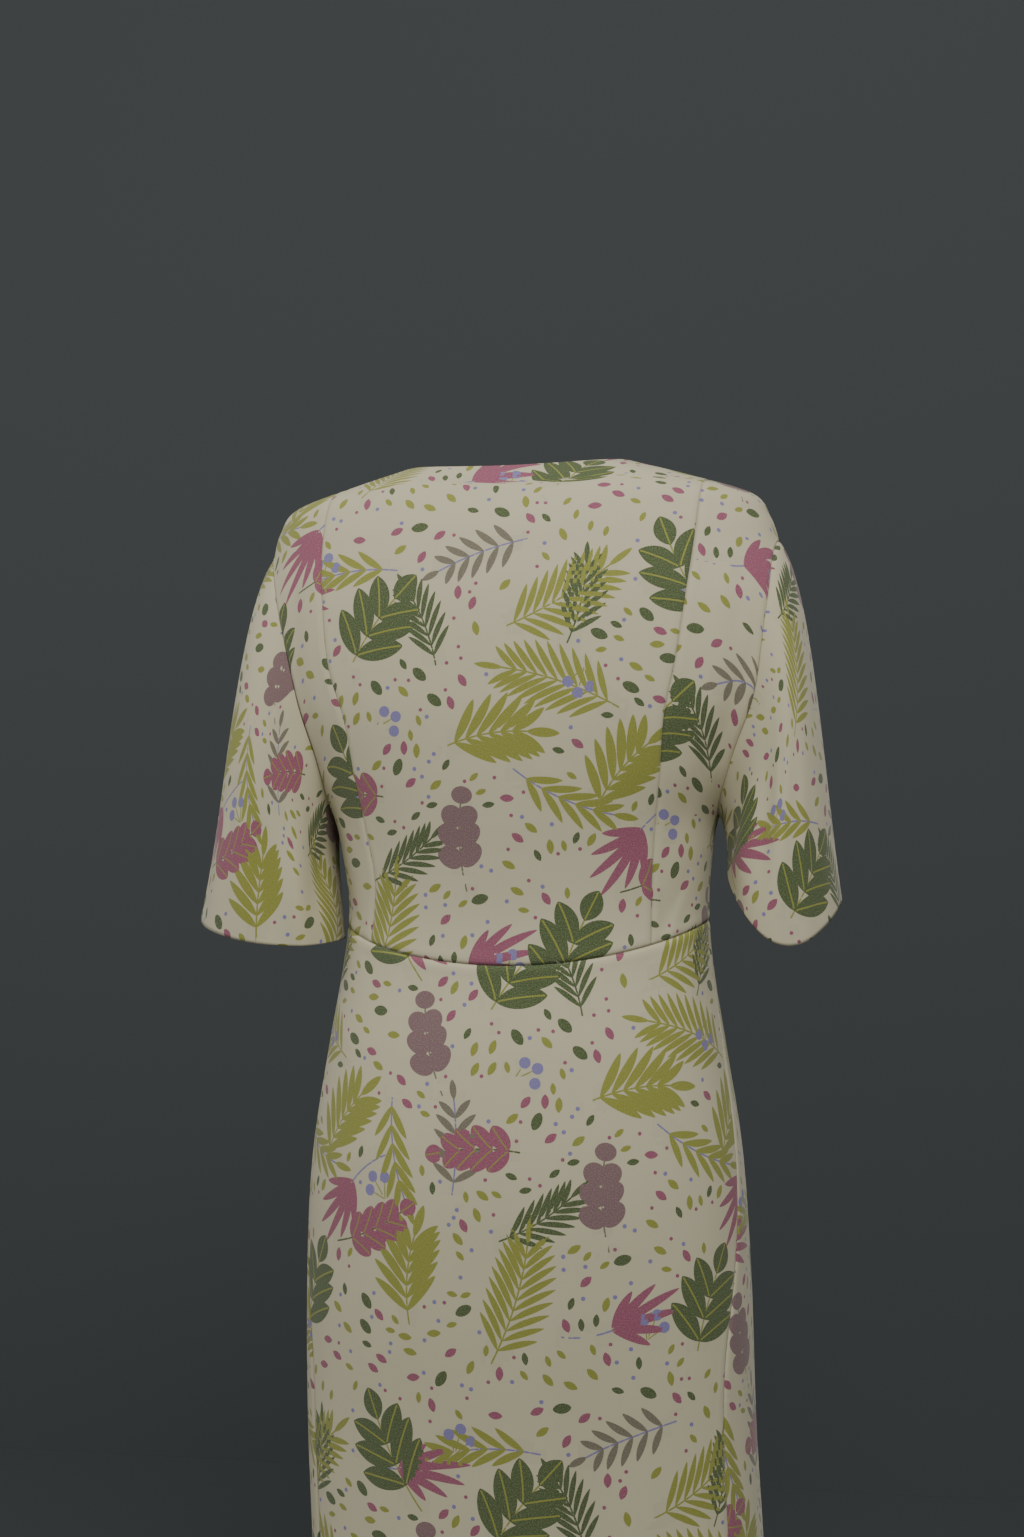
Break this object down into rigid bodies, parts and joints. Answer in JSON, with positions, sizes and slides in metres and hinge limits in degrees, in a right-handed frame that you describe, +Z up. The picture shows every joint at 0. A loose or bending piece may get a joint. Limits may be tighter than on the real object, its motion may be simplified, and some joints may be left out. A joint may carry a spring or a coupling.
{
  "type": "sheath dress",
  "caption": "Knee-length jersey dress with elbow sleeves, a panelled back bodice, a waist seam and a straight skirt, hollow and hanging as worn.",
  "frame": {"origin": "midway between the neck ends of the two shoulder seams, where the wearer's shoulders carry the dress", "axes": "+Z up, the front faces -Y, and the wearer's left is +X"},
  "size_m": [0.565, 0.2681, 1.05],
  "materials": {
    "printed_jersey": "matte knitted viscose jersey with an all-over botanical print"
  },
  "bodies": {
    "root": {"back_centre": "printed_jersey", "back_side_left": "printed_jersey", "back_side_right": "printed_jersey", "front_bodice": "printed_jersey", "sleeve_left": "printed_jersey", "sleeve_right": "printed_jersey", "skirt_back": "printed_jersey", "skirt_front": "printed_jersey"}
  },
  "joints": []
}
